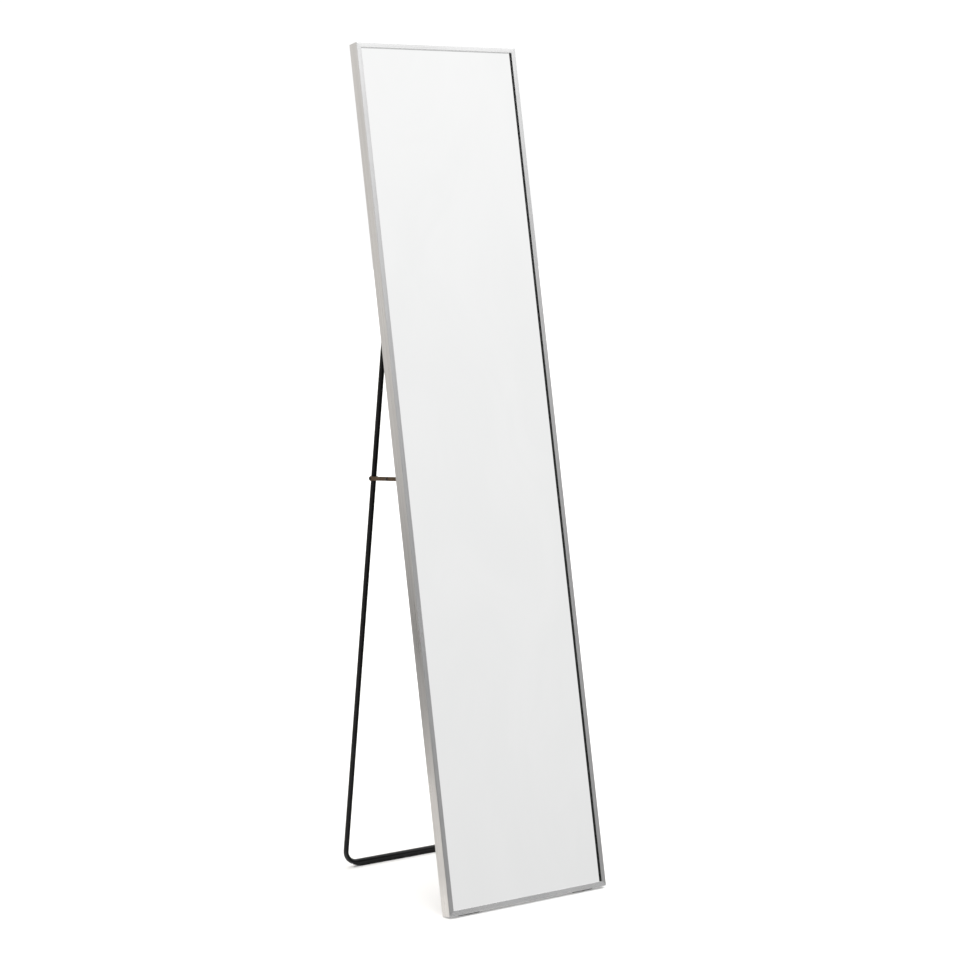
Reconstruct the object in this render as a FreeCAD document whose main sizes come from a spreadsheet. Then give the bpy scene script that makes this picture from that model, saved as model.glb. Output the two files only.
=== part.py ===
import FreeCAD, Part
import math
import os

from FreeCAD import Placement, Rotation, Vector
from Sketcher import Constraint

# A full-length mirror in a slim aluminium frame, leaning back on a folding U-shaped tube stand.
# Row frame: +Z up, the mirror faces -Y, X is to the right seen from the front, and the origin is
# on the floor at the centre of the whole object's footprint. Lengths are millimetres.
#
# Two local frames are used for modelling:
#   mirror frame: x across, y from the front face backwards, z up the mirror from its bottom edge
#   stand frame:  x across, z up the legs, origin in the middle of the hinge axis

DRIVING = {
    "mirror_width": 355.0,
    "mirror_height": 1600.0,
    "frame_depth": 25.0,
    "face_width": 9.5,
    "face_thickness": 1.5,
    "edge_break": 0.7,
    "inner_edge_break": 0.15,
    "wall": 1.2,
    "box_width": 6.5,
    "glass_front": 3.9,
    "glass_thickness": 4.0,
    "foam_thickness": 1.5,
    "board_thickness": 3.0,
    "pane_inset": 2.0,
    "lean_angle": 10.9,
    "key_reach": 32.0,
    "key_clearance": 0.1,
    "grub_radius": 1.5,
    "grub_length": 5.0,
    "grub_from_end": 20.0,
    "hinge_height": 1130.0,
    "hinge_setback": 20.0,
    "leg_offset": 157.5,
    "tube_radius": 5.0,
    "tube_wall": 1.0,
    "bend_radius": 27.0,
    "bar_height": 8.8,
    "stow_gap": 9.9,
    "leg_above_hinge": 7.0,
    "block_height": 44.0,
    "block_depth": 11.0,
    "block_screw_spacing": 30.0,
    "block_screw_radius": 1.5,
    "hinge_bolt_radius": 2.5,
    "bolt_head_radius": 4.6,
    "bolt_head_height": 2.7,
    "stay_leg_reach": 341.0,
    "stay_rail_reach": 333.4,
    "link_width": 7.6,
    "link_thickness": 1.5,
    "pin_radius": 1.95,
    "pin_head_radius": 2.8,
    "pin_head_height": 1.5,
    "running_gap": 0.05,
    "spacer_radius": 4.9,
    "spacer_thickness": 1.6,
    "nut_across_flats": 7.0,
    "nut_height": 3.1,
    "strip_length": 284.0,
    "strip_width": 9.0,
    "strip_top": 6.4,
    "strip_nose_run": 17.0,
    "strip_nose_rise": 5.4,
    "foot_length": 46.0,
    "foot_inset": 26.0,
    "foot_front": 10.0,
    "foot_back": 21.0,
}
HOLE_PLAY = 0.02          # radial play of a tight hole
SEAT_PLAY = 0.1           # between a part and the face it sits against
BOLT_SEAT_PLAY = 0.15
SIDE_PLAY = 0.3           # sideways, between parts that move past each other
SPACER_PLAY = 0.2
OVERCUT = 2.0             # how far a cutting outline runs past the part
BREAKTHROUGH = 0.3        # how far a cut runs on beyond a wall
SHOULDER_SHARE = 0.6      # a domed head's flat top, as a share of its radius

doc = FreeCAD.newDocument("standing_mirror")
sheet = doc.addObject("Spreadsheet::Sheet", "Sizes")


class Size:
    """A length that is both a number and an expression over the sheet's cells."""

    def __init__(self, value, text):
        self.value = value
        self.text = text

    def _join(self, other, sign, value):
        other = size(other)
        return Size(value, f"({self.text} {sign} {other.text})")

    def __add__(self, other):
        return self._join(other, "+", self.value + size(other).value)

    def __sub__(self, other):
        return self._join(other, "-", self.value - size(other).value)

    def __mul__(self, other):
        return self._join(other, "*", self.value * size(other).value)

    def __truediv__(self, other):
        return self._join(other, "/", self.value / size(other).value)

    def __rsub__(self, other):
        return size(other) - self

    def __neg__(self):
        return Size(-self.value, f"(-1 * {self.text})")


def size(item):
    """A Size from a Size, a cell's alias or a plain number."""
    if isinstance(item, Size):
        return item
    if isinstance(item, str):
        return Size(cells[item], f"Sizes.{item}")
    return Size(float(item), repr(float(item)))


cells = {}


def add_cell(alias, value):
    """One row of the sheet: its alias in column A and its number in column B."""
    row = len(cells) + 1
    sheet.set(f"A{row}", alias)
    sheet.set(f"B{row}", repr(round(value, 9)))
    sheet.setAlias(f"B{row}", alias)
    cells[alias] = round(value, 9)


for alias, value in DRIVING.items():
    add_cell(alias, value)

# ---------------------------------------------------------------- worked-out geometry
lean = math.radians(cells["lean_angle"])


def to_floor_plane(height, setback):
    """(y, z) behind the frame's front bottom edge of a point given in the mirror frame."""
    y = height * math.sin(lean) + setback * math.cos(lean)
    z = height * math.cos(lean) + (cells["frame_depth"] - setback) * math.sin(lean)
    return y, z


# Folded, the crossbar's rubber strip lies just above the bottom rail, which sets the leg length.
leg_length = cells["hinge_height"] - cells["box_width"] - cells["stow_gap"]
hinge_y, hinge_z = to_floor_plane(cells["hinge_height"], cells["hinge_setback"])
leg_angle = math.acos((hinge_z - cells["bar_height"]) / leg_length)
fold_angle = lean + leg_angle
bar_y = hinge_y + leg_length * math.sin(leg_angle)
front_y = -(bar_y + cells["tube_radius"]) / 2

# The stay's pivots: one on the leg, one on the rail, and the knee between them.
leg_pin_height = cells["hinge_height"] - cells["stay_leg_reach"] * math.cos(fold_angle)
leg_pin_setback = cells["hinge_setback"] + cells["stay_leg_reach"] * math.sin(fold_angle)
rail_pin_height = cells["hinge_height"] - cells["stay_rail_reach"]
stay_rise = leg_pin_height - rail_pin_height
stay_run = leg_pin_setback - cells["hinge_setback"]
stay_span = math.hypot(stay_rise, stay_run)
stay_tilt = math.degrees(math.atan2(stay_rise, stay_run))
folded_span = cells["stay_leg_reach"] - cells["stay_rail_reach"]

add_cell("leg_length", leg_length)
add_cell("rear_link_length", (stay_span + folded_span) / 2)
add_cell("front_link_length", (stay_span - folded_span) / 2)
add_cell("rail_pin_height", rail_pin_height)

width = size("mirror_width")
height = size("mirror_height")
depth = size("frame_depth")
face = size("face_width")
wall = size("wall")
box = size("box_width")
board_front = size("glass_front") + size("glass_thickness") + size("foam_thickness")
board_back = board_front + size("board_thickness")
tube_radius = size("tube_radius")
leg_offset = size("leg_offset")
rail_inner = width / 2 - box
leg_outer = leg_offset + tube_radius
gap = size("running_gap")
link = size("link_thickness")
pin = size("pin_radius")
pin_hole = pin + gap
rear_link_start = leg_outer + size("spacer_thickness") + SPACER_PLAY
front_link_start = rear_link_start + link + SIDE_PLAY

frame_place = Placement(
    Vector(0, front_y, cells["frame_depth"] * math.sin(lean)),
    Rotation(Vector(1, 0, 0), -cells["lean_angle"]),
)
stand_place = Placement(
    Vector(0, front_y + hinge_y, hinge_z),
    Rotation(Vector(1, 0, 0), math.degrees(leg_angle)),
)


# ---------------------------------------------------------------- modelling helpers
def bind(thing, prop, item):
    """Sets a length property and binds it to the sheet."""
    item = size(item)
    setattr(thing, prop, item.value)
    thing.setExpression(prop, item.text)


def new_body(label):
    body = doc.addObject("PartDesign::Body", label)
    body.Label = label
    return body


def new_sketch(body, name, role, offset=0.0):
    """A sketch on one of the body's own origin planes, moved along its normal."""
    sketch = body.newObject("Sketcher::SketchObject", f"{body.Label}_{name}")
    plane = [item for item in body.Origin.OriginFeatures if item.Role == role][0]
    sketch.AttachmentSupport = (plane, "")
    sketch.MapMode = "FlatFace"
    offset = size(offset)
    sketch.AttachmentOffset = Placement(Vector(0, 0, offset.value), Rotation())
    if offset.value:
        sketch.setExpression("AttachmentOffset.Base.z", offset.text)
    return sketch


def pin_point(sketch, geometry, vertex, x, y):
    """Fixes one sketch point at (x, y) from the sketch's origin."""
    for item, kind, axis in ((size(x), "DistanceX", -2), (size(y), "DistanceY", -1)):
        if item.value == 0:
            sketch.addConstraint(Constraint("PointOnObject", geometry, vertex, axis))
        else:
            index = sketch.addConstraint(Constraint(kind, -1, 1, geometry, vertex, item.value))
            sketch.setExpression(f"Constraints[{index}]", item.text)


def draw_loop(sketch, points):
    """A closed outline of straight lines through the points."""
    points = [(size(x), size(y)) for x, y in points]
    corners = [Vector(x.value, y.value, 0) for x, y in points]
    first = sketch.GeometryCount
    count = len(corners)
    for i, corner in enumerate(corners):
        sketch.addGeometry(Part.LineSegment(corner, corners[(i + 1) % count]))
    for i, (x, y) in enumerate(points):
        sketch.addConstraint(Constraint("Coincident", first + i, 2, first + (i + 1) % count, 1))
        pin_point(sketch, first + i, 1, x, y)


def set_radius(sketch, geometry, radius):
    index = sketch.addConstraint(Constraint("Radius", geometry, radius.value))
    sketch.setExpression(f"Constraints[{index}]", radius.text)


def draw_circle(sketch, x, y, radius):
    x, y, radius = size(x), size(y), size(radius)
    circle = Part.Circle(Vector(x.value, y.value, 0), Vector(0, 0, 1), radius.value)
    index = sketch.addGeometry(circle)
    pin_point(sketch, index, 3, x, y)
    set_radius(sketch, index, radius)


def draw_stadium(sketch, length, radius):
    """A bar with round ends, from the sketch's origin up to length."""
    length, radius = size(length), size(radius)
    span, r = length.value, radius.value
    up = Vector(0, 0, 1)
    low = Part.ArcOfCircle(Part.Circle(Vector(0, 0, 0), up, r), math.pi, 2 * math.pi)
    high = Part.ArcOfCircle(Part.Circle(Vector(0, span, 0), up, r), 0, math.pi)
    right = Part.LineSegment(Vector(r, 0, 0), Vector(r, span, 0))
    left = Part.LineSegment(Vector(-r, span, 0), Vector(-r, 0, 0))
    for piece in (low, right, high, left):
        sketch.addGeometry(piece)
    for i in range(4):
        sketch.addConstraint(Constraint("Coincident", i, 2, (i + 1) % 4, 1))
    pin_point(sketch, 1, 1, radius, 0)
    pin_point(sketch, 1, 2, radius, length)
    pin_point(sketch, 3, 1, -radius, length)
    pin_point(sketch, 3, 2, -radius, 0)
    sketch.addConstraint(Constraint("PointOnObject", 0, 3, -1))
    index = sketch.addConstraint(Constraint("DistanceY", -1, 1, 2, 3, span))
    sketch.setExpression(f"Constraints[{index}]", length.text)


def pad(body, sketch, length, backwards=False):
    feature = body.newObject("PartDesign::Pad", f"{sketch.Name}_pad")
    feature.Profile = sketch
    bind(feature, "Length", length)
    feature.Reversed = backwards
    body.Tip = feature
    return feature


def pocket(body, sketch, length, backwards=False, through=False):
    """Cuts against the sketch's normal, or along it when backwards, and checks that it cut."""
    doc.recompute()
    before = body.Shape.Volume
    feature = body.newObject("PartDesign::Pocket", f"{sketch.Name}_pocket")
    feature.Profile = sketch
    if through:
        feature.Type = "ThroughAll"
        feature.Midplane = True
    else:
        bind(feature, "Length", length)
        feature.Reversed = backwards
    body.Tip = feature
    doc.recompute()
    if body.Shape.Volume > before - 1e-3:
        raise RuntimeError(f"{feature.Name} cut nothing")
    return feature


def revolve_x(body, outline):
    """A turned piece about the X axis, from (x, radius) points."""
    sketch = new_sketch(body, "profile", "XY_Plane")
    draw_loop(sketch, outline)
    feature = body.newObject("PartDesign::Revolution", f"{body.Label}_turned")
    feature.Profile = sketch
    feature.ReferenceAxis = (sketch, ["H_Axis"])
    feature.Angle = 360
    body.Tip = feature
    return feature


def side_place(group, side, x, y, z, flip_axis):
    """Places a piece modelled for the left side; the right one is turned half round flip_axis."""
    turn = Rotation() if side == "left" else Rotation(flip_axis, 180)
    x = -x if side == "left" else x
    return group.multiply(Placement(Vector(x, y, z), turn))


AXIS_Y = Vector(0, 1, 0)
AXIS_Z = Vector(0, 0, 1)
SIDES = ("left", "right")


# ---------------------------------------------------------------- mirror frame
def frame_rail(label, length, inner_holes):
    """One mitred rail of the extrusion, along z, its outer face on x = 0.
    inner_holes are (y, z, radius) in the rear box's inner wall."""
    body = new_body(label)
    edge, inner_edge = size("edge_break"), size("inner_edge_break")
    front = size("face_thickness")
    section = new_sketch(body, "section", "XY_Plane")
    draw_loop(
        section,
        [
            (edge, 0),
            (face - inner_edge, 0),
            (face, inner_edge),
            (face, "glass_front"),
            (face - wall, "glass_front"),
            (face - wall, front),
            (wall, front),
            (wall, board_back),
            (box, board_back),
            (box, depth),
            (edge / 2, depth),
            (0, depth - edge / 2),
            (0, edge),
        ],
    )
    draw_loop(
        section,
        [
            (wall, board_back + wall),
            (box - wall, board_back + wall),
            (box - wall, depth - wall),
            (wall, depth - wall),
        ],
    )
    pad(body, section, length)
    mitre = new_sketch(body, "mitre", "XZ_Plane")
    before, beyond = -size(OVERCUT), face + OVERCUT
    draw_loop(mitre, [(before, before), (beyond, before), (beyond, beyond)])
    draw_loop(mitre, [(before, length + OVERCUT), (beyond, length - beyond), (beyond, length + OVERCUT)])
    pocket(body, mitre, None, through=True)
    rear = new_sketch(body, "grub_holes", "XZ_Plane", -depth)
    for z in (size("grub_from_end"), length - "grub_from_end"):
        draw_circle(rear, box / 2, z, size("grub_radius") + gap)
    pocket(body, rear, wall + BREAKTHROUGH, backwards=True)
    if inner_holes:
        inner = new_sketch(body, "pivot_holes", "YZ_Plane", box)
        for y, z, radius in inner_holes:
            draw_circle(inner, y, z, radius)
        pocket(body, inner, wall + BREAKTHROUGH)
    return body


block_screw_half = size("block_screw_spacing") / 2
wall_holes = [
    ("hinge_setback", size("hinge_height") - block_screw_half, size("block_screw_radius") + gap),
    ("hinge_setback", size("hinge_height") + block_screw_half, size("block_screw_radius") + gap),
    ("hinge_setback", "rail_pin_height", pin_hole),
]
turned_holes = [(y, height - z, radius) for y, z, radius in wall_holes]

half = cells["mirror_width"] / 2
tall = cells["mirror_height"]
CORNERS = {
    "bottom_left": (-half, 0, 0),
    "top_left": (-half, tall, 90),
    "top_right": (half, tall, 180),
    "bottom_right": (half, 0, -90),
}
RAILS = {
    "left": ("bottom_left", height, wall_holes),
    "top": ("top_left", width, []),
    "right": ("top_right", height, turned_holes),
    "bottom": ("bottom_right", width, []),
}


def corner_place(corner):
    """The mirror frame turned so that a corner's two rails run along +x and +z from it."""
    x, z, turn = CORNERS[corner]
    return frame_place.multiply(Placement(Vector(x, 0, z), Rotation(AXIS_Y, turn)))


for rail_name, (corner, length, holes) in RAILS.items():
    rail = frame_rail(f"frame_rail_{rail_name}", length, holes)
    rail.Placement = corner_place(corner)


def corner_key(corner):
    """An L-shaped key that joins two rails inside their rear boxes."""
    body = new_body(f"corner_key_{corner}")
    low = wall + "key_clearance"
    high = box - wall - "key_clearance"
    reach = size("key_reach")
    front = board_back + wall + "key_clearance"
    sketch = new_sketch(body, "outline", "XZ_Plane", -front)
    outline = [(low, low), (reach, low), (reach, high), (high, high), (high, reach), (low, reach)]
    draw_loop(sketch, outline)
    thickness = depth - board_back - wall * 2 - size("key_clearance") * 2
    pad(body, sketch, thickness, backwards=True)
    holes = new_sketch(body, "grub_holes", "XZ_Plane", -depth)
    for x, z in ((box / 2, "grub_from_end"), ("grub_from_end", box / 2)):
        draw_circle(holes, x, z, size("grub_radius") + gap)
    pocket(body, holes, size("grub_length") + BREAKTHROUGH, backwards=True)
    body.Placement = corner_place(corner)


for corner in CORNERS:
    corner_key(corner)


def grub_screw():
    """A socket grub screw whose outer end is at the origin, running towards -y."""
    radius = cells["grub_radius"]
    length = cells["grub_length"]
    screw = Part.makeCylinder(radius, length, Vector(0, 0, 0), Vector(0, -1, 0))
    socket_radius, socket_depth = radius * 0.45, length * 0.4
    socket = Part.makeCylinder(socket_radius, socket_depth, Vector(0, 0, 0), Vector(0, -1, 0))
    return screw.cut(socket)


grubs = []
grub_sink = 0.2
middle, along = cells["box_width"] / 2, cells["grub_from_end"]
for corner in CORNERS:
    for x, z in ((middle, along), (along, middle)):
        screw = grub_screw()
        spot = Placement(Vector(x, cells["frame_depth"] - grub_sink, z), Rotation())
        screw.Placement = corner_place(corner).multiply(spot)
        grubs.append(screw)
corner_screws = doc.addObject("Part::Feature", "corner_screws")
corner_screws.Shape = Part.makeCompound(grubs)


def pane(label, front, thickness):
    """A flat sheet held in the rails' groove."""
    body = new_body(label)
    inset = size("pane_inset")
    sketch = new_sketch(body, "outline", "XZ_Plane", -size(front))
    left, right, top = inset - width / 2, width / 2 - inset, height - inset
    draw_loop(sketch, [(left, inset), (right, inset), (right, top), (left, top)])
    pad(body, sketch, thickness, backwards=True)
    body.Placement = frame_place


pane("mirror_glass", "glass_front", "glass_thickness")
pane("foam_sheet", size("glass_front") + "glass_thickness", "foam_thickness")
pane("backing_board", board_front, "board_thickness")


def frame_foot(side):
    """A rubber wedge under the bottom rail: flat on the floor, its top on the leaning rail."""
    body = new_body(f"frame_foot_{side}")
    rise = math.tan(lean)
    near, far = size("foot_front"), size("foot_back")
    deep = cells["frame_depth"] * math.cos(lean)
    sketch = new_sketch(body, "side", "YZ_Plane", -size("foot_length") / 2)
    far_height, near_height = (deep - far) * rise, (deep - near) * rise
    draw_loop(sketch, [(near, 0), (far, 0), (far, far_height), (near, near_height)])
    pad(body, sketch, "foot_length")
    x = cells["mirror_width"] / 2 - cells["foot_inset"] - cells["foot_length"] / 2
    body.Placement = Placement(Vector(-x if side == "left" else x, front_y, 0), Rotation())


# ---------------------------------------------------------------- hinges
block_reach = rail_inner - leg_outer - SIDE_PLAY


def hinge_block(side):
    """A nylon block on the rail's inner wall that carries the stand's hinge bolt.
    Origin on the hinge axis at the rail's wall; the block reaches towards +x."""
    body = new_body(f"hinge_block_{side}")
    board_gap, edge, bore_floor, screw_seat_depth = 1.0, 2.0, 1.5, 2.0
    tall_half = size("block_height") / 2
    front = board_back + board_gap - "hinge_setback"
    back = front + "block_depth"
    sketch = new_sketch(body, "side", "YZ_Plane")
    draw_loop(
        sketch,
        [
            (front, -tall_half),
            (back - edge, -tall_half),
            (back, edge - tall_half),
            (back, tall_half - edge),
            (back - edge, tall_half),
            (front, tall_half),
        ],
    )
    pad(body, sketch, block_reach)
    bore = new_sketch(body, "bolt_hole", "YZ_Plane", block_reach)
    draw_circle(bore, 0, 0, size("hinge_bolt_radius") + HOLE_PLAY)
    pocket(body, bore, block_reach - bore_floor)
    screws = new_sketch(body, "screw_holes", "YZ_Plane", block_reach)
    heads = new_sketch(body, "screw_seats", "YZ_Plane", block_reach)
    for z in (-block_screw_half, block_screw_half):
        draw_circle(screws, 0, z, size("block_screw_radius") + gap)
        draw_circle(heads, 0, z, size("block_screw_radius") * 2 + gap)
    pocket(body, screws, block_reach + OVERCUT)
    pocket(body, heads, screw_seat_depth)
    setback, up = cells["hinge_setback"], cells["hinge_height"]
    body.Placement = side_place(frame_place, side, rail_inner.value, setback, up, AXIS_Y)


def hinge_bolt(side):
    """A button-head bolt through the leg into the block. The leg turns on it.
    Origin on the leg's centreline; the shank runs towards -x."""
    body = new_body(f"hinge_bolt_{side}")
    shank = size("hinge_bolt_radius")
    head = size("bolt_head_radius")
    seat = tube_radius + BOLT_SEAT_PLAY
    top = seat + "bolt_head_height"
    rim, shoulder, short_of_rail = 0.9, 0.6, 2.0
    flat_share, dome_share = 0.45, 0.78
    tip = -(tube_radius + SIDE_PLAY + block_reach - short_of_rail)
    revolve_x(
        body,
        [
            (tip, 0),
            (top, 0),
            (top, head * flat_share),
            (top - shoulder, head * dome_share),
            (seat + rim, head),
            (seat, head),
            (seat, shank),
            (tip, shank),
        ],
    )
    socket = new_sketch(body, "socket", "YZ_Plane", top)
    half_flats, socket_depth = 1.5, 1.6
    circum = half_flats / math.cos(math.radians(30))
    points = []
    for i in range(6):
        turn = math.radians(60 * i + 30)
        points.append((circum * math.cos(turn), circum * math.sin(turn)))
    draw_loop(socket, points)
    pocket(body, socket, socket_depth)
    setback, up = cells["hinge_setback"], cells["hinge_height"]
    body.Placement = side_place(frame_place, side, leg_offset.value, setback, up, AXIS_Y)


def block_screw():
    """A cheese-head screw along x; its head's outer face is at the origin, the tip towards -x."""
    radius = cells["block_screw_radius"]
    back = Vector(-1, 0, 0)
    head_height, past_wall = 1.8, 1.5
    head = Part.makeCylinder(radius * 2, head_height, Vector(0, 0, 0), back)
    shank = Part.makeCylinder(radius, block_reach.value + past_wall, Vector(0, 0, 0), back)
    slot_width, slot_depth, slot_length = 0.8, 0.8, radius * 5
    corner = Vector(-slot_depth, -slot_length / 2, -slot_width / 2)
    slot = Part.makeBox(slot_depth + SEAT_PLAY, slot_length, slot_width, corner)
    return head.fuse(shank).cut(slot).removeSplitter()


screws = []
for side in SIDES:
    hinge_block(side)
    hinge_bolt(side)
    for up in (-block_screw_half.value, block_screw_half.value):
        screw = block_screw()
        x = leg_outer.value + SIDE_PLAY
        z = cells["hinge_height"] + up
        screw.Placement = side_place(frame_place, side, x, cells["hinge_setback"], z, AXIS_Y)
        screws.append(screw)
hinge_screws = doc.addObject("Part::Feature", "hinge_block_screws")
hinge_screws.Shape = Part.makeCompound(screws)


# ---------------------------------------------------------------- stand
def stand_tube():
    """One tube bent into a U, its legs hanging from the hinge axis."""
    body = new_body("stand_tube")
    top, low = cells["leg_above_hinge"], -cells["leg_length"]
    x, bend = cells["leg_offset"], cells["bend_radius"]
    path = new_sketch(body, "path", "XZ_Plane")
    up = Vector(0, 0, 1)
    left_bend = Part.Circle(Vector(bend - x, low + bend, 0), up, bend)
    right_bend = Part.Circle(Vector(x - bend, low + bend, 0), up, bend)
    pieces = [
        Part.LineSegment(Vector(-x, top, 0), Vector(-x, low + bend, 0)),
        Part.ArcOfCircle(left_bend, math.pi, 1.5 * math.pi),
        Part.LineSegment(Vector(bend - x, low, 0), Vector(x - bend, low, 0)),
        Part.ArcOfCircle(right_bend, 1.5 * math.pi, 2 * math.pi),
        Part.LineSegment(Vector(x, low + bend, 0), Vector(x, top, 0)),
    ]
    for piece in pieces:
        path.addGeometry(piece)
    for i in range(4):
        path.addConstraint(Constraint("Coincident", i, 2, i + 1, 1))
    drop, radius = size("leg_length"), size("bend_radius")
    pin_point(path, 0, 1, -leg_offset, "leg_above_hinge")
    pin_point(path, 0, 2, -leg_offset, radius - drop)
    pin_point(path, 2, 1, radius - leg_offset, -drop)
    pin_point(path, 2, 2, leg_offset - radius, -drop)
    pin_point(path, 4, 1, leg_offset, radius - drop)
    pin_point(path, 4, 2, leg_offset, "leg_above_hinge")
    set_radius(path, 1, radius)
    set_radius(path, 3, radius)
    ring = new_sketch(body, "ring", "XY_Plane", "leg_above_hinge")
    draw_circle(ring, -leg_offset, 0, tube_radius)
    draw_circle(ring, -leg_offset, 0, tube_radius - "tube_wall")
    doc.recompute()
    pipe = body.newObject("PartDesign::AdditivePipe", "stand_tube_pipe")
    pipe.Profile = ring
    pipe.Spine = (path, [])
    body.Tip = pipe
    holes = new_sketch(body, "pin_holes", "YZ_Plane")
    draw_circle(holes, 0, 0, size("hinge_bolt_radius") + gap)
    draw_circle(holes, 0, -size("stay_leg_reach"), pin_hole)
    pocket(body, holes, None, through=True)
    body.Placement = stand_place


def leg_plug(side):
    """A domed plug in the open top end of a leg, turned about z."""
    body = new_body(f"leg_plug_{side}")
    bore = tube_radius - "tube_wall" - gap
    depth_in, rim, shoulder, crown, dome_inset = 3.4, 0.5, 1.1, 1.3, 1.2
    sketch = new_sketch(body, "profile", "XZ_Plane")
    draw_loop(
        sketch,
        [
            (0, -depth_in),
            (bore, -depth_in),
            (bore, 0),
            (tube_radius, 0),
            (tube_radius, rim),
            (tube_radius - dome_inset, shoulder),
            (0, crown),
        ],
    )
    feature = body.newObject("PartDesign::Revolution", f"{body.Label}_turned")
    feature.Profile = sketch
    feature.ReferenceAxis = (sketch, ["V_Axis"])
    feature.Angle = 360
    body.Tip = feature
    x = cells["leg_offset"]
    spot = Vector(-x if side == "left" else x, 0, cells["leg_above_hinge"])
    body.Placement = stand_place.multiply(Placement(spot, Rotation()))


def floor_strip():
    """A rubber strip along the underside of the crossbar, flat on the floor. Its ends slope up to
    the tube's bends, and a groove along its top takes the tube."""
    body = new_body("floor_strip")
    end, top = size("strip_length") / 2, size("strip_top")
    flat_end = end - "strip_nose_run"
    rise = size("strip_nose_rise")
    side_view = new_sketch(body, "side_view", "XZ_Plane", -size("strip_width") / 2)
    outline = [(-flat_end, 0), (flat_end, 0), (end, rise), (end, top), (-end, top), (-end, rise)]
    draw_loop(side_view, outline)
    pad(body, side_view, "strip_width")
    groove = new_sketch(body, "groove", "YZ_Plane")
    draw_circle(groove, 0, "bar_height", tube_radius + gap)
    pocket(body, groove, None, through=True)
    body.Placement = Placement(Vector(0, front_y + bar_y, 0), Rotation())


# ---------------------------------------------------------------- folding stays
def leg_pin(side):
    """A domed pin through the leg that carries the stay's rear link.
    Origin on the leg's centreline; the head is towards -x."""
    body = new_body(f"stay_pin_{side}")
    head = size("pin_head_radius")
    past_nut, shoulder = 0.8, 0.6
    seat = leg_offset - rear_link_start - link - SEAT_PLAY
    top = seat - "pin_head_height"
    tip = tube_radius + "nut_height" + past_nut
    revolve_x(
        body,
        [
            (top, 0),
            (tip, 0),
            (tip, pin),
            (seat, pin),
            (seat, head),
            (top + shoulder, head),
            (top, head * SHOULDER_SHARE),
        ],
    )
    x, z = leg_offset.value, -cells["stay_leg_reach"]
    body.Placement = side_place(stand_place, side, x, 0, z, AXIS_Z)


def stay_spacer(side):
    """A round bronze spacer between the leg and the rear link."""
    body = new_body(f"stay_spacer_{side}")
    sketch = new_sketch(body, "ring", "YZ_Plane", -tube_radius - SEAT_PLAY - "spacer_thickness")
    draw_circle(sketch, 0, 0, "spacer_radius")
    draw_circle(sketch, 0, 0, pin_hole)
    pad(body, sketch, "spacer_thickness")
    x, z = leg_offset.value, -cells["stay_leg_reach"]
    body.Placement = side_place(stand_place, side, x, 0, z, AXIS_Z)


def stay_nut(side):
    """A hexagon nut on the pin's inner end."""
    body = new_body(f"stay_nut_{side}")
    sketch = new_sketch(body, "hexagon", "YZ_Plane", tube_radius + SEAT_PLAY)
    circum = size("nut_across_flats") / math.sqrt(3)
    corners = []
    for i in range(6):
        turn = math.radians(60 * i)
        corners.append((circum * math.cos(turn), circum * math.sin(turn)))
    corners[0] = (circum, 0)
    corners[3] = (-circum, 0)
    draw_loop(sketch, corners)
    draw_circle(sketch, 0, 0, pin + HOLE_PLAY)
    pad(body, sketch, "nut_height")
    x, z = leg_offset.value, -cells["stay_leg_reach"]
    body.Placement = side_place(stand_place, side, x, 0, z, AXIS_Z)


def stay_link(label, start, length, seat_hole):
    """A flat link from its pivot at the origin up to the knee, its outer face towards -x."""
    body = new_body(label)
    outline = new_sketch(body, "outline", "YZ_Plane", -start - link)
    draw_stadium(outline, length, size("link_width") / 2)
    pad(body, outline, link)
    holes = new_sketch(body, "holes", "YZ_Plane", -start)
    draw_circle(holes, 0, 0, pin_hole)
    draw_circle(holes, 0, length, pin_hole)
    pocket(body, holes, link + OVERCUT)
    if seat_hole:
        seat_depth = 0.65
        seat = new_sketch(body, "seat", "YZ_Plane", -start)
        draw_circle(seat, 0, 0, size("pin_head_radius") + gap)
        pocket(body, seat, seat_depth)
    return body


def turned(label, outline):
    body = new_body(label)
    revolve_x(body, outline)
    return body


def link_place(side, foot_height, foot_setback, angle):
    """Stands a link on its pivot in the mirror frame, tilted by angle from up towards the back."""
    turn = Rotation(Vector(1, 0, 0), -angle)
    if side == "right":
        turn = turn.multiply(Rotation(AXIS_Z, 180))
    return frame_place.multiply(Placement(Vector(0, foot_setback, foot_height), turn))


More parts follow.
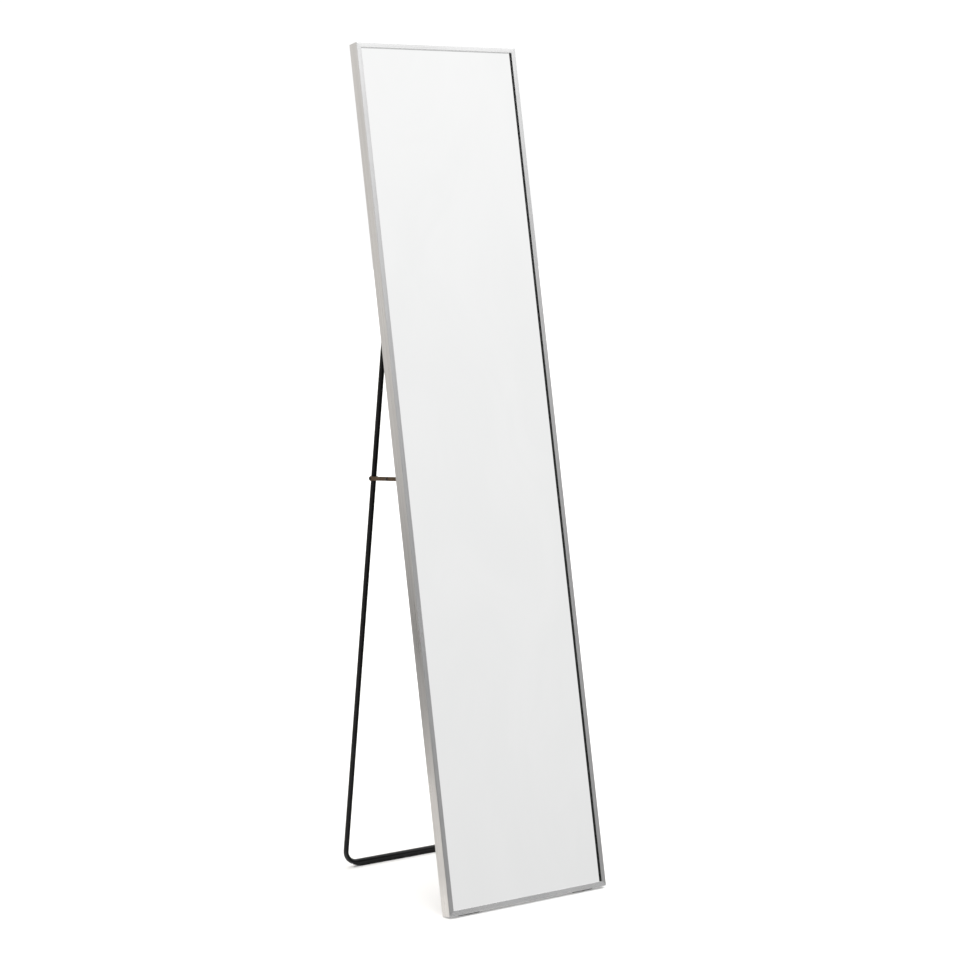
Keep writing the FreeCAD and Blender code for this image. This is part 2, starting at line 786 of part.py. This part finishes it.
def stay(side):
    """Both links of one stay with the two halves of their knee rivet and the rail's pivot post."""
    head = size("pin_head_radius")
    shoulder, cap_height = 0.6, 1.2
    tail_rim, tail_top = 0.4, 0.9
    rear_place = link_place(side, leg_pin_height, leg_pin_setback, -90 - stay_tilt)
    front_place = link_place(side, rail_pin_height, cells["hinge_setback"], 90 - stay_tilt)

    rear = stay_link(f"stay_link_rear_{side}", rear_link_start, "rear_link_length", False)
    rear.Placement = rear_place
    front = stay_link(f"stay_link_front_{side}", front_link_start, "front_link_length", True)
    front.Placement = front_place

    inner = -rear_link_start
    tail = turned(
        f"knee_rivet_tail_{side}",
        [
            (inner - link, 0),
            (inner + tail_top, 0),
            (inner + tail_top, head * SHOULDER_SHARE),
            (inner + tail_rim, head),
            (inner, head),
            (inner, pin),
            (inner - link, pin),
        ],
    )
    knee = Placement(Vector(0, 0, cells["rear_link_length"]), Rotation())
    tail.Placement = rear_place.multiply(knee)

    outer = -front_link_start - link
    cap = turned(
        f"knee_rivet_head_{side}",
        [
            (outer - cap_height, 0),
            (outer + link, 0),
            (outer + link, pin),
            (outer, pin),
            (outer, head),
            (outer - shoulder, head),
            (outer - cap_height, head * SHOULDER_SHARE),
        ],
    )
    knee = Placement(Vector(0, 0, cells["front_link_length"]), Rotation())
    cap.Placement = front_place.multiply(knee)

    wall_x = -rail_inner
    inside_box, collar = 0.8, head * 1.3
    post_end = wall_x - wall - inside_box
    collar_end = outer - BOLT_SEAT_PLAY
    post = turned(
        f"stay_post_{side}",
        [
            (post_end, 0),
            (-front_link_start, 0),
            (-front_link_start, head),
            (-front_link_start - shoulder, head),
            (-front_link_start - shoulder, pin),
            (collar_end, pin),
            (collar_end, collar),
            (wall_x, collar),
            (wall_x, pin),
            (post_end, pin),
        ],
    )
    post.Placement = front_place


stand_tube()
floor_strip()
for side in SIDES:
    frame_foot(side)
    leg_plug(side)
    leg_pin(side)
    stay_spacer(side)
    stay_nut(side)
    stay(side)

# ---------------------------------------------------------------- checks and export
doc.recompute()
bad = [item.Name for item in doc.Objects if "Invalid" in item.State or "Error" in item.State]
if bad:
    raise RuntimeError(f"features that failed: {bad}")
subparts = [item for item in doc.Objects if item.TypeId in ("PartDesign::Body", "Part::Feature")]
os.makedirs("parts", exist_ok=True)
for part in subparts:
    if part.Shape.isNull() or not part.Shape.isValid():
        raise RuntimeError(f"{part.Label} has no valid shape")
for part in subparts:
    part.Shape.exportStep(os.path.join("parts", part.Label + ".step"))
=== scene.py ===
"""The looks of the easel-back floor mirror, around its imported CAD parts.

Finishes for every part and rounded edges for most, then the floor, the light and the camera.
"""

import math

import bpy
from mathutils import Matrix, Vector

MM = 0.001

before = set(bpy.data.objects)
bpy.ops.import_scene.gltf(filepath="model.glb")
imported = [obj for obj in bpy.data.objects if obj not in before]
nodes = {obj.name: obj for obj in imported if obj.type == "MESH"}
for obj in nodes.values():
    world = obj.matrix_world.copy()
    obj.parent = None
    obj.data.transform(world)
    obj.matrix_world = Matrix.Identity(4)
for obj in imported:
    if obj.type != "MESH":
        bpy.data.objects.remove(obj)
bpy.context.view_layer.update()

# ---------------------------------------------------------------- sizes
LEAN = math.radians(10.9)                      # the mirror's lean from upright, as in the CAD
UP_THE_MIRROR = Vector((0.0, math.sin(LEAN), math.cos(LEAN)))
THROUGH_THE_MIRROR = Vector((0.0, math.cos(LEAN), -math.sin(LEAN)))
ACROSS_THE_MIRROR = Vector((1.0, 0.0, 0.0))
FLAT_COS = 0.99                                # a face looks a given way when its normal is this near it
DEPTH_SLACK = 0.1 * MM                         # how far past the glass front a wall may reach

CAMERA_PLACE = (-2.53186, -3.72023, 1.30854)   # metres
CAMERA_YAW = 0.604238                          # radians, from +Y towards +X
CAMERA_PITCH = -0.121536                       # radians, up from level
CAMERA_LENS = 89.83                            # mm, on a sensor 36 mm wide
SENSOR_WIDTH = 36.0
CAMERA_REACH = 200.0                           # metres, past the floor's far edge

FLOOR_HALF = 30.0                              # metres, from the middle of the floor to its edge
SUN_POWER = 0.35
SUN_SPREAD = math.radians(100.0)
SUN_SHINES = Vector((0.15, 0.35, -1.0))        # down, and a little to the back and to +X
PAPER_WHITE = 1.02                             # how bright the paper behind the object is

GRAIN_ALONG = 6.0                              # the brushed grain's noise scale along a rail, per metre
GRAIN_ACROSS = 900.0                           # and across it
BROAD_GRAIN = 6.0                              # the broad grain is this many times as large


# ---------------------------------------------------------------- shader building
def rgb(red, green, blue):
    return (red, green, blue, 1.0)


def grey(level):
    return rgb(level, level, level)


class Nodes:
    """A node tree, and the helpers that add to it."""

    def __init__(self, tree):
        self.tree = tree

    def add(self, kind, inputs=None, **settings):
        """A node with its settings, and its inputs given as numbers, colours or other nodes' outputs."""
        node = self.tree.nodes.new(kind)
        for name, value in settings.items():
            setattr(node, name, value)
        for name, value in (inputs or {}).items():
            self.feed(node.inputs[name], value)
        return node

    def feed(self, socket, value):
        if isinstance(value, bpy.types.NodeSocket):
            self.tree.links.new(value, socket)
        else:
            socket.default_value = value

    def spread(self, value, low, high, start=0.3, end=0.7):
        """A value carried smoothly from start..end onto low..high."""
        return self.add("ShaderNodeMapRange", {
            "Value": value, "From Min": start, "From Max": end, "To Min": low, "To Max": high,
        }, interpolation_type="SMOOTHSTEP").outputs[0]

    def blend(self, amount, first, second):
        """Two colours mixed by a value: first at 0, second at 1."""
        node = self.add("ShaderNodeMix", data_type="RGBA")
        for name, value in (("Factor_Float", amount), ("A_Color", first), ("B_Color", second)):
            self.feed(next(s for s in node.inputs if s.identifier == name), value)
        return next(s for s in node.outputs if s.identifier == "Result_Color")


class Finish(Nodes):
    """One material: its node tree, its shader and the helpers that build the pattern."""

    def __init__(self, name, **values):
        self.material = bpy.data.materials.new(name)
        self.material.use_nodes = True
        super().__init__(self.material.node_tree)
        self.shader = next(n for n in self.tree.nodes if n.type == "BSDF_PRINCIPLED")
        for socket, value in values.items():
            self.shader.inputs[socket.replace("_", " ")].default_value = value
        self.place = self.add("ShaderNodeTexCoord").outputs["Object"]

    def mapped(self, stretch, tilt=0.0):
        """Object coordinates tilted about X, then stretched."""
        tilted = self.add("ShaderNodeMapping", {"Vector": self.place, "Rotation": (tilt, 0.0, 0.0)})
        return self.add("ShaderNodeMapping", {"Vector": tilted.outputs[0], "Scale": stretch}).outputs[0]

    def noise(self, where, scale, detail=4.0, roughness=0.55, distortion=0.0):
        return self.add("ShaderNodeTexNoise", {
            "Vector": where, "Scale": scale, "Detail": detail,
            "Roughness": roughness, "Distortion": distortion,
        }).outputs["Fac"]

    def cells(self, where, scale, feature="F1"):
        inputs = {"Vector": where, "Scale": scale}
        return self.add("ShaderNodeTexVoronoi", inputs, feature=feature).outputs["Distance"]

    def plus(self, first, second, share=1.0):
        """first + second * share."""
        inputs = {0: second, 1: share, 2: first}
        return self.add("ShaderNodeMath", inputs, operation="MULTIPLY_ADD").outputs[0]

    def use(self, colour, roughness, height=None, depth=0.0):
        """The material, given its colour and roughness, and raised by the height pattern to the depth."""
        self.feed(self.shader.inputs["Base Color"], colour)
        self.feed(self.shader.inputs["Roughness"], roughness)
        if height is not None:
            bump = self.add("ShaderNodeBump", {"Height": height, "Distance": depth, "Strength": 1.0})
            self.feed(self.shader.inputs["Normal"], bump.outputs[0])
        return self.material


# ---------------------------------------------------------------- finishes
def satin_aluminium(name, along_x, anisotropy=0.95, coarseness=0.92, tone=1.0):
    """Anodised aluminium drawn lengthwise: fine die lines along the rail and a soft cloud of uneven etch.

    anisotropy draws the highlights out across the grain, coarseness scales the roughness and tone
    scales the colour; a tone below 1 is painted shade, the same aluminium darkened for less light on it.
    """
    finish = Finish(name, Metallic=1.0, Anisotropic=anisotropy)
    if along_x:
        stretch = (GRAIN_ALONG, GRAIN_ACROSS, GRAIN_ACROSS)
    else:
        stretch = (GRAIN_ACROSS, GRAIN_ACROSS, GRAIN_ALONG)
    broad_stretch = tuple(scale / BROAD_GRAIN for scale in stretch)
    lines = finish.noise(finish.mapped(stretch, LEAN), 1.0, detail=3.0, roughness=0.6)
    broad = finish.noise(finish.mapped(broad_stretch, LEAN), 1.0, detail=2.0)
    cloud = finish.noise(finish.place, 9.0, detail=5.0)
    both = finish.plus(lines, broad, 0.5)
    # a tone below 1 darkens this colour as painted shade
    colour = finish.blend(finish.spread(both, 0.0, 1.0, 0.55, 0.95), grey(0.70 * tone), grey(0.81 * tone))
    fine_rough = finish.spread(lines, 0.30 * coarseness, 0.40 * coarseness)
    rough = finish.plus(fine_rough, finish.spread(cloud, -0.03, 0.03))
    # Halfway between two directions across the grain: in each face's own plane it runs across the grain.
    across_grain = THROUGH_THE_MIRROR + (UP_THE_MIRROR if along_x else ACROSS_THE_MIRROR)
    tangent = finish.add(
        "ShaderNodeCombineXYZ", {"X": across_grain.x, "Y": across_grain.y, "Z": across_grain.z})
    finish.feed(finish.shader.inputs["Tangent"], tangent.outputs[0])
    return finish.use(colour, rough, both, 0.012 * MM)


def drawn_recess(name):
    """The rail's inner wall in front of the glass: smooth and bright from the die."""
    finish = Finish(name, Metallic=1.0)
    fine = finish.noise(finish.place, 500.0, detail=3.0)
    cloud = finish.noise(finish.place, 30.0, detail=4.0)
    colour = finish.blend(finish.spread(cloud, 0.0, 1.0), grey(0.74), grey(0.82))
    return finish.use(colour, finish.spread(fine, 0.02, 0.05))


def silvered_glass(name):
    """Silvered mirror glass, with the faint wipe marks and dust that a real sheet carries."""
    finish = Finish(name, Metallic=1.0)
    wipe = finish.noise(finish.mapped((3.0, 3.0, 1.4), 0.5), 2.0, detail=5.0, distortion=1.2)
    dust = finish.cells(finish.place, 420.0)
    tint = finish.blend(finish.spread(wipe, 0.0, 1.0), rgb(0.898, 0.902, 0.900), rgb(0.914, 0.916, 0.915))
    rough = finish.plus(finish.spread(wipe, 0.0, 0.02, 0.5, 0.8), finish.spread(dust, 0.03, 0.0, 0.0, 0.06))
    return finish.use(tint, rough)


def powder_coat(name):
    """Satin black powder coat: orange peel, a slight sheen and a few rubbed places."""
    finish = Finish(name, Specular_IOR_Level=0.28)
    peel = finish.noise(finish.place, 900.0, detail=2.0)
    broad = finish.noise(finish.place, 220.0, detail=2.0)
    rub = finish.noise(finish.place, 24.0, detail=6.0, roughness=0.7)
    rubbed = finish.spread(rub, 0.0, 1.0, 0.45, 0.8)
    colour = finish.blend(rubbed, rgb(0.0018, 0.0018, 0.0020), rgb(0.0060, 0.0058, 0.0057))
    rough = finish.plus(finish.spread(rub, 0.30, 0.40), finish.spread(peel, -0.03, 0.03))
    return finish.use(colour, rough, finish.plus(peel, broad, 1.2), 0.05 * MM)


def bronze_steel(name):
    """Bronze-coloured steel strip: fine streaks, mottled, with the colour rubbed thin in places."""
    finish = Finish(name, Metallic=0.85)
    lines = finish.noise(finish.mapped((400.0, 30.0, 1400.0)), 1.0, detail=3.0)
    mottle = finish.noise(finish.place, 160.0, detail=6.0, roughness=0.65)
    rub = finish.noise(finish.place, 520.0, detail=4.0)
    base = finish.blend(finish.spread(mottle, 0.0, 1.0), rgb(0.070, 0.045, 0.026), rgb(0.135, 0.088, 0.052))
    colour = finish.blend(finish.spread(rub, 0.0, 0.6, 0.62, 0.74), base, rgb(0.25, 0.18, 0.115))
    rough = finish.plus(finish.spread(lines, 0.30, 0.44), finish.spread(mottle, -0.05, 0.05))
    return finish.use(colour, rough, lines, 0.02 * MM)


def black_oxide(name):
    """Blackened steel hardware: dark, and faintly brown where the oil is thin."""
    finish = Finish(name, Metallic=0.2)
    mottle = finish.noise(finish.place, 380.0, detail=6.0, roughness=0.7)
    fine = finish.noise(finish.place, 2600.0, detail=2.0)
    oily = finish.spread(mottle, 0.0, 1.0)
    colour = finish.blend(oily, rgb(0.003, 0.003, 0.0032), rgb(0.012, 0.011, 0.010))
    rough = finish.plus(finish.spread(mottle, 0.34, 0.50), finish.spread(fine, -0.04, 0.04))
    return finish.use(colour, rough, finish.plus(fine, mottle, 0.6), 0.02 * MM)


def black_nylon(name):
    """Moulded nylon with a fine spark-eroded texture."""
    finish = Finish(name, Specular_IOR_Level=0.45)
    pebble = finish.cells(finish.place, 1700.0, "SMOOTH_F1")
    fine = finish.noise(finish.place, 2400.0, detail=3.0)
    flow = finish.noise(finish.place, 60.0, detail=4.0)
    colour = finish.blend(finish.spread(flow, 0.0, 1.0), rgb(0.014, 0.014, 0.015), rgb(0.026, 0.026, 0.027))
    rough = finish.plus(finish.spread(flow, 0.46, 0.58), finish.spread(fine, -0.05, 0.05))
    return finish.use(colour, rough, finish.plus(pebble, fine, 0.4), 0.06 * MM)


def black_rubber(name):
    """Matt rubber: a skin of fine pores, and grey where it has picked up dust."""
    finish = Finish(name, Specular_IOR_Level=0.3)
    pores = finish.noise(finish.place, 1500.0, detail=4.0, roughness=0.7)
    dust = finish.noise(finish.place, 70.0, detail=6.0, roughness=0.7)
    colour = finish.blend(finish.spread(dust, 0.0, 1.0, 0.5, 0.8), grey(0.009), rgb(0.030, 0.029, 0.028))
    return finish.use(colour, finish.spread(pores, 0.70, 0.88), pores, 0.08 * MM)


def black_board(name):
    """Black-faced fibreboard: short fibres lying two ways, and a slight mottle."""
    finish = Finish(name, Specular_IOR_Level=0.35)
    fibres = finish.noise(finish.mapped((900.0, 900.0, 70.0), LEAN), 1.0, detail=4.0, distortion=2.0)
    crossing = finish.noise(finish.mapped((70.0, 900.0, 900.0), LEAN), 1.0, detail=4.0, distortion=2.0)
    mottle = finish.noise(finish.place, 14.0, detail=7.0, roughness=0.65)
    pile = finish.plus(fibres, crossing)
    raised = finish.spread(pile, 0.0, 1.0, 0.75, 1.3)
    colour = finish.blend(raised, rgb(0.020, 0.019, 0.018), rgb(0.055, 0.052, 0.048))
    colour = finish.blend(finish.spread(mottle, 0.0, 0.35), colour, rgb(0.060, 0.057, 0.053))
    return finish.use(colour, finish.spread(mottle, 0.62, 0.80), pile, 0.12 * MM)


def white_foam(name):
    """Closed-cell foam sheet, its cut cells showing."""
    finish = Finish(name, Specular_IOR_Level=0.3)
    cells = finish.cells(finish.place, 1400.0)
    cloud = finish.noise(finish.place, 40.0, detail=4.0)
    colour = finish.blend(finish.spread(cloud, 0.0, 1.0), rgb(0.78, 0.77, 0.74), rgb(0.86, 0.855, 0.84))
    return finish.use(colour, finish.spread(cells, 0.70, 0.9, 0.0, 0.6), cells, 0.15 * MM)


def zinc_plate(name):
    """Zinc-plated steel: a pale spangle with soft brushed marks."""
    finish = Finish(name, Metallic=1.0)
    spangle = finish.cells(finish.place, 420.0)
    fine = finish.noise(finish.mapped((1.0, 1.0, 12.0)), 900.0, detail=3.0)
    flecks = finish.spread(spangle, 0.0, 1.0, 0.1, 0.7)
    colour = finish.blend(flecks, rgb(0.50, 0.51, 0.53), rgb(0.66, 0.67, 0.68))
    rough = finish.plus(finish.spread(spangle, 0.26, 0.40, 0.1, 0.7), finish.spread(fine, -0.04, 0.04))
    return finish.use(colour, rough, fine, 0.015 * MM)


FINISHES = {                                   # by slot; the rails have finishes of their own
    "mirror_silver": silvered_glass, "white_foam": white_foam, "black_board": black_board,
    "zinc_steel": zinc_plate, "black_nylon": black_nylon, "black_powder_coat": powder_coat,
    "bronze_steel": bronze_steel, "black_oxide": black_oxide, "black_rubber": black_rubber,
}


# ---------------------------------------------------------------- dressing the CAD parts
EDGE_ROUNDING = {                              # metres, by slot; a slot that isn't here keeps its edges
    "brushed_aluminium": 0.15 * MM, "mirror_silver": 0.6 * MM, "white_foam": 0.1 * MM,
    "black_board": 0.3 * MM, "zinc_steel": 0.2 * MM, "black_nylon": 0.3 * MM,
    "bronze_steel": 0.18 * MM, "black_oxide": 0.12 * MM, "black_rubber": 0.4 * MM,
}
SAME_POINT = 0.002 * MM
SHARP_EDGE = math.radians(32.0)
ROUNDING_STEPS = 2
LARGE_FACE_WEIGHT = 60                         # above 50, large faces count for more in the shading

RAIL_FACING_IN = {                             # the way each rail's recess wall looks
    "frame_rail_left": ACROSS_THE_MIRROR, "frame_rail_right": -ACROSS_THE_MIRROR,
    "frame_rail_bottom": UP_THE_MIRROR, "frame_rail_top": -UP_THE_MIRROR,
}


def round_edges(node, width):
    """Joins the mesh's split points, rounds its sharp edges and evens out the shading."""
    node.modifiers.new("join_points", "WELD").merge_threshold = SAME_POINT
    bevel = node.modifiers.new("round_edges", "BEVEL")
    bevel.width = width
    bevel.segments = ROUNDING_STEPS
    bevel.limit_method = "ANGLE"
    bevel.angle_limit = SHARP_EDGE
    bevel.use_clamp_overlap = True
    shading = node.modifiers.new("even_shading", "WEIGHTED_NORMAL")
    shading.keep_sharp = False
    shading.weight = LARGE_FACE_WEIGHT


def finish_recess(name, material):
    """Gives the strip of wall in front of the glass its own finish."""
    mesh = nodes[name].data
    mesh.materials.append(material)
    recess_slot = len(mesh.materials) - 1
    inward = RAIL_FACING_IN[name]
    depth = [THROUGH_THE_MIRROR.dot(v.co) for v in mesh.vertices]
    glass_front = min(THROUGH_THE_MIRROR.dot(v.co) for v in nodes["mirror_glass"].data.vertices)
    for face in mesh.polygons:
        in_front = max(depth[v] for v in face.vertices) < glass_front + DEPTH_SLACK
        if in_front and face.normal.dot(inward) > FLAT_COS:
            face.material_index = recess_slot


def dress_parts():
    """Gives every CAD part its finish, and rounds the edges where its slot has a width for it."""
    ready = {slot: make(slot + "_finish") for slot, make in FINISHES.items()}
    upright = satin_aluminium("aluminium_up_the_mirror", along_x=False)
    # painted shade: the top and bottom rails are the uprights' aluminium, darkened by tone 0.95 and 0.80
    # for the light on them
    top = satin_aluminium("aluminium_top_painted_shade", along_x=True, anisotropy=0.35, coarseness=0.75, tone=0.95)
    bottom = satin_aluminium("aluminium_bottom_painted_shade", along_x=True, anisotropy=0.35, coarseness=0.75, tone=0.80)
    rails = {
        "frame_rail_left": upright, "frame_rail_right": upright,
        "frame_rail_top": top, "frame_rail_bottom": bottom,
    }
    for name, node in nodes.items():
        slot = node.data.materials[0].name
        node.data.materials[0] = ready[slot] if slot in ready else rails[name]
        if slot in EDGE_ROUNDING:
            round_edges(node, EDGE_ROUNDING[slot])
    recess = drawn_recess("aluminium_recess_wall")
    for name in RAIL_FACING_IN:
        finish_recess(name, recess)


# ---------------------------------------------------------------- studio
# The light's brightness by elevation in degrees. ALL_ROUND holds where no region lies over it. From the
# photograph's angle the glass shows MIRRORED, the frame's left side shows BEHIND, and the right rail's
# recess wall shows DARK_SIDE by way of the glass.
ALL_ROUND = [
    (-90, 1.2), (-42, 1.0), (-28, 0.12), (-2, 0.10), (6, 0.10), (11, 0.15), (16, 0.38), (20, 1.35),
    (25, 2.0), (50, 1.7)]
LEFT = [(-90, 2.2), (-29, 2.0), (-25, 0.25), (-14, 0.25), (-4, 0.5), (10, 0.8), (20, 1.3), (40, 1.6)]
FRONT = [
    (-90, 1.2), (-42, 1.0), (-28, 0.45), (6, 0.55), (11, 0.65), (16, 0.80), (20, 1.0), (25, 1.3), (50, 1.7)]
DARK_SIDE = [
    (-90, 1.8), (-29, 1.5), (-25, 0.20), (-8, 0.20), (-3, 0.002), (22, 0.002), (30, 1.0), (60, 1.6)]
RIGHT_BACK = [(-90, 1.2), (-42, 1.0), (-28, 0.80), (6, 0.80), (20, 1.3), (50, 1.7)]
RIGHT = [
    (-90, 1.2), (-42, 1.0), (-28, 0.23), (-2, 0.21), (6, 0.21), (11, 0.26), (16, 0.5), (20, 1.35),
    (25, 2.0), (50, 1.7)]
MIRRORED = [
    (-90, 1.2), (-42, 1.0), (-28, 0.02), (-6.5, 0.02), (-4.8, 0.75), (0.5, 0.84), (4.5, 0.88),
    (14, 0.955), (25, 1.065), (29, 2.0), (50, 1.7)]
BEHIND = [
    (-90, 1.3), (-20, 1.25), (-17.5, 1.30), (-16, 1.70), (-14.2, 1.95), (-13.3, 0.0), (-11, 0.06),
    (-7, 0.62), (-3, 0.78), (4, 0.80), (40, 1.6)]
NEUTRAL = (1.0, 1.0, 1.0)
WARM = (1.0, 0.955, 0.90)

# Azimuth from -Y towards +X, how far round it the levels hold, and how far round it they have faded out,
# in degrees. Each row lies over the rows before it.
REGIONS = [
    (-90.0, 30.0, 60.0, LEFT, NEUTRAL),
    (0.0, 10.0, 20.0, FRONT, NEUTRAL),
    (-35.0, 10.0, 18.0, DARK_SIDE, NEUTRAL),
    (120.0, 35.0, 55.0, RIGHT_BACK, NEUTRAL),
    (68.0, 14.0, 28.0, RIGHT, NEUTRAL),
    (36.0, 6.0, 9.0, MIRRORED, NEUTRAL),
    (215.0, 30.0, 55.0, BEHIND, WARM),
]


class Sky(Nodes):
    """The world's node tree, and the helpers that work from a ray's direction."""

    def __init__(self):
        world = bpy.data.worlds.new("studio")
        bpy.context.scene.world = world
        world.use_nodes = True
        world.node_tree.nodes.clear()
        super().__init__(world.node_tree)
        self.direction = self.add("ShaderNodeTexCoord").outputs["Generated"]
        height = self.add("ShaderNodeSeparateXYZ", {0: self.direction}).outputs["Z"]
        # the direction's height, carried from -1..1 onto a ramp's 0..1
        self.lifted = self.add("ShaderNodeMapRange", {"Value": height, "From Min": -1.0}).outputs[0]

    def height_ramp(self, levels, tint):
        """A colour by elevation, linear in its sine between the levels given."""
        node = self.add("ShaderNodeValToRGB", {0: self.lifted})
        elements = node.color_ramp.elements
        while len(elements) < len(levels):
            elements.new(0.5)
        for element, (elevation, level) in zip(elements, levels):
            element.position = (math.sin(math.radians(elevation)) + 1) / 2
            element.color = rgb(*(level * part for part in tint))
        return node.outputs[0]

    def toward(self, azimuth, inner, outer):
        """1 within inner degrees of the azimuth, 0 beyond outer, smooth between."""
        inputs = {0: self.direction, 1: (1.0, 1.0, 0.0)}
        flat = self.add("ShaderNodeVectorMath", inputs, operation="MULTIPLY").outputs[0]
        unit = self.add("ShaderNodeVectorMath", {0: flat}, operation="NORMALIZE").outputs[0]
        angle = math.radians(azimuth)
        aim = (math.sin(angle), -math.cos(angle), 0.0)
        near = self.add("ShaderNodeVectorMath", {0: unit, 1: aim}, operation="DOT_PRODUCT").outputs["Value"]
        return self.spread(near, 0.0, 1.0, math.cos(math.radians(outer)), math.cos(math.radians(inner)))


def studio_world():
    """Light from all round, set by direction, with plain white paper for the camera to see."""
    sky = Sky()
    level = sky.height_ramp(ALL_ROUND, NEUTRAL)
    for azimuth, inner, outer, levels, tint in REGIONS:
        level = sky.blend(sky.toward(azimuth, inner, outer), level, sky.height_ramp(levels, tint))
    seen = sky.add("ShaderNodeLightPath").outputs["Is Camera Ray"]
    lights = sky.add("ShaderNodeBackground", {"Color": level})
    paper = sky.add("ShaderNodeBackground", {"Color": grey(1.0), "Strength": PAPER_WHITE})
    pick = sky.add("ShaderNodeMixShader", {0: seen, 1: lights.outputs[0], 2: paper.outputs[0]})
    sky.add("ShaderNodeOutputWorld", {"Surface": pick.outputs[0]})


def pale_floor():
    """A wide plain floor, pale and matt."""
    mesh = bpy.data.meshes.new("floor")
    corners = [(x * FLOOR_HALF, y * FLOOR_HALF, 0.0) for x, y in ((-1, -1), (1, -1), (1, 1), (-1, 1))]
    mesh.from_pydata(corners, [], [(0, 1, 2, 3)])
    floor = bpy.data.objects.new("floor", mesh)
    bpy.context.scene.collection.objects.link(floor)
    finish = Finish("floor_paint", Specular_IOR_Level=0.2)
    tone = finish.noise(finish.place, 3.0, detail=3.0)
    colour = finish.blend(tone, rgb(0.90, 0.90, 0.895), rgb(0.92, 0.92, 0.915))
    mesh.materials.append(finish.use(colour, finish.spread(tone, 0.75, 0.85)))
    floor.visible_glossy = False


def overhead_light():
    """One very wide, soft light from high in front of the mirror."""
    light = bpy.data.lights.new("overhead", "SUN")
    light.energy = SUN_POWER
    light.angle = SUN_SPREAD
    lamp = bpy.data.objects.new("overhead", light)
    bpy.context.scene.collection.objects.link(lamp)
    lamp.rotation_mode = "QUATERNION"
    lamp.rotation_quaternion = SUN_SHINES.to_track_quat("-Z", "Y")
    lamp.visible_glossy = False


def camera():
    """The photograph's own view of the mirror."""
    data = bpy.data.cameras.new("camera")
    data.lens = CAMERA_LENS
    data.sensor_width = SENSOR_WIDTH
    data.clip_end = CAMERA_REACH
    eye = bpy.data.objects.new("camera", data)
    bpy.context.scene.collection.objects.link(eye)
    eye.location = CAMERA_PLACE
    flat = math.cos(CAMERA_PITCH)
    forward = Vector((math.sin(CAMERA_YAW) * flat, math.cos(CAMERA_YAW) * flat, math.sin(CAMERA_PITCH)))
    eye.rotation_mode = "QUATERNION"
    eye.rotation_quaternion = forward.to_track_quat("-Z", "Y")
    bpy.context.scene.camera = eye


dress_parts()
pale_floor()
studio_world()
overhead_light()
camera()
bpy.context.scene.view_settings.view_transform = "Standard"
